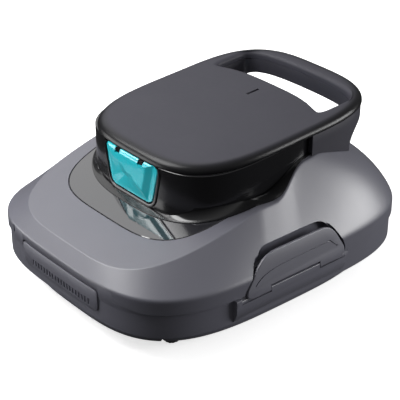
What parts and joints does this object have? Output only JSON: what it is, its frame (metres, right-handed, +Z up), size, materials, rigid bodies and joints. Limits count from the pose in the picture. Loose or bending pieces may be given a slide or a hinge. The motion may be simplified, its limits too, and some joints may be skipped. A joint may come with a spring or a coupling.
{
  "type": "pool cleaner",
  "caption": "Cordless robotic pool-floor cleaner: rounded casing on a wheeled base with side latches, raised pod with hinged outlet flaps, filter basket and a loop carry handle.",
  "frame": {"origin": "on the floor under the middle of the object", "axes": "+Z up, -Y towards the front with the teal outlet flap, +X to the object's right"},
  "size_m": [0.3276, 0.3908, 0.1876],
  "materials": {
    "casing_grey": "satin injection-moulded grey plastic",
    "deck_gloss": "polished grey plastic",
    "black_gloss": "polished black plastic",
    "soft_touch": "soft-touch charcoal coating",
    "teal": "satin teal plastic",
    "black_rubber": "moulded black rubber",
    "tyre_rubber": "ribbed grey-black tyre",
    "wheel_white": "grey nylon hub",
    "steel": "stainless steel",
    "basket_white": "white basket plastic",
    "filter_mesh": "fine woven filter mesh",
    "lamp": "dark clear light window",
    "cell_wrap": "blue shrink wrap",
    "board_green": "green circuit board",
    "foam": "closed-cell foam"
  },
  "bodies": {
    "base": {"base_tray": "casing_grey", "front_grip_pad": "casing_grey", "rear_grip_pad": "casing_grey", "rim_seal": "black_rubber", "suction_plate": "black_gloss", "suction_duct": "black_gloss", "intake_flap_pin": "steel", "front_sweeper": "black_rubber", "rear_sweeper": "black_rubber", "front_axle": "steel", "rear_axle": "steel", "front_left_screw": "steel", "front_right_screw": "steel", "rear_left_screw": "steel", "rear_right_screw": "steel", "left_latch_pin": "steel", "right_latch_pin": "steel"},
    "intake_flap": {"intake_flap": "black_rubber"},
    "basket": {"filter_basket": "basket_white", "filter_mesh": "filter_mesh", "basket_lid": "teal"},
    "upper_unit": {"upper_shell": "casing_grey", "deck_inlay": "deck_gloss", "pod_foot": "black_gloss", "pod_body": "black_gloss", "top_cover": "soft_touch", "handle_lower": "black_gloss", "status_lamp": "lamp", "front_bezel": "black_gloss", "rear_bezel": "black_gloss", "front_flap_lugs": "black_gloss", "rear_flap_lugs": "black_gloss", "charge_socket": "black_gloss", "impeller_duct": "black_gloss", "motor_housing": "black_gloss", "motor_can": "steel", "shaft_seal": "black_rubber", "battery_pack": "cell_wrap", "control_board": "board_green", "front_float": "foam", "rear_float": "foam"},
    "front_flap": {"front_flap": "teal"},
    "rear_flap": {"rear_flap": "teal"},
    "power_button": {"power_button": "soft_touch"},
    "charge_plug": {"charge_plug": "black_rubber"},
    "impeller": {"motor_shaft": "steel", "impeller": "teal"},
    "left_latch": {"left_latch": "casing_grey"},
    "right_latch": {"right_latch": "casing_grey"},
    "front_left_wheel": {"front_left_wheel": "wheel_white", "front_left_tyre": "tyre_rubber"},
    "front_right_wheel": {"front_right_wheel": "wheel_white", "front_right_tyre": "tyre_rubber"},
    "rear_left_wheel": {"rear_left_wheel": "wheel_white", "rear_left_tyre": "tyre_rubber"},
    "rear_right_wheel": {"rear_right_wheel": "wheel_white", "rear_right_tyre": "tyre_rubber"}
  },
  "joints": [
    {"name": "unit_lift", "type": "slide", "parent": "base", "child": "upper_unit", "axis": [0, 0, 1], "range_m": [0, 0.22]},
    {"name": "basket_lift", "type": "slide", "parent": "base", "child": "basket", "axis": [0, 0, 1], "range_m": [0, 0.11]},
    {"name": "intake_flap_swing", "type": "hinge", "parent": "base", "child": "intake_flap", "pos_m": [0, -0.0174, 0.0252], "axis": [1, 0, 0], "range_deg": [0, 52]},
    {"name": "left_latch_swing", "type": "hinge", "parent": "base", "child": "left_latch", "pos_m": [-0.162, 0, 0.0555], "axis": [0, -1, 0], "range_deg": [0, 75]},
    {"name": "right_latch_swing", "type": "hinge", "parent": "base", "child": "right_latch", "pos_m": [0.162, 0, 0.0555], "axis": [0, 1, 0], "range_deg": [0, 75]},
    {"name": "front_flap_swing", "type": "hinge", "parent": "upper_unit", "child": "front_flap", "pos_m": [0, -0.0973, 0.161], "axis": [-1, 0, 0], "range_deg": [0, 60]},
    {"name": "rear_flap_swing", "type": "hinge", "parent": "upper_unit", "child": "rear_flap", "pos_m": [0, 0.1023, 0.1716], "axis": [1, 0, 0], "range_deg": [0, 60]},
    {"name": "power_button_press", "type": "slide", "parent": "upper_unit", "child": "power_button", "axis": [0, -1, 0], "range_m": [0, 0.0012], "stiffness_N_per_m": 300},
    {"name": "charge_plug_pull", "type": "slide", "parent": "upper_unit", "child": "charge_plug", "axis": [0, 1, 0], "range_m": [0, 0.02]},
    {"name": "impeller_spin", "type": "hinge", "parent": "upper_unit", "child": "impeller", "pos_m": [0, -0.015, 0.105], "axis": [0, 0, 1], "continuous": true},
    {"name": "front_left_wheel_spin", "type": "hinge", "parent": "base", "child": "front_left_wheel", "pos_m": [-0.104, -0.128, 0.018], "axis": [1, 0, 0], "continuous": true},
    {"name": "front_right_wheel_spin", "type": "hinge", "parent": "base", "child": "front_right_wheel", "pos_m": [0.104, -0.128, 0.018], "axis": [1, 0, 0], "continuous": true},
    {"name": "rear_left_wheel_spin", "type": "hinge", "parent": "base", "child": "rear_left_wheel", "pos_m": [-0.104, 0.128, 0.018], "axis": [1, 0, 0], "continuous": true},
    {"name": "rear_right_wheel_spin", "type": "hinge", "parent": "base", "child": "rear_right_wheel", "pos_m": [0.104, 0.128, 0.018], "axis": [1, 0, 0], "continuous": true}
  ],
  "couplings": [
    {"joint": "basket_lift", "follows": "unit_lift", "ratio": 0.5}
  ]
}
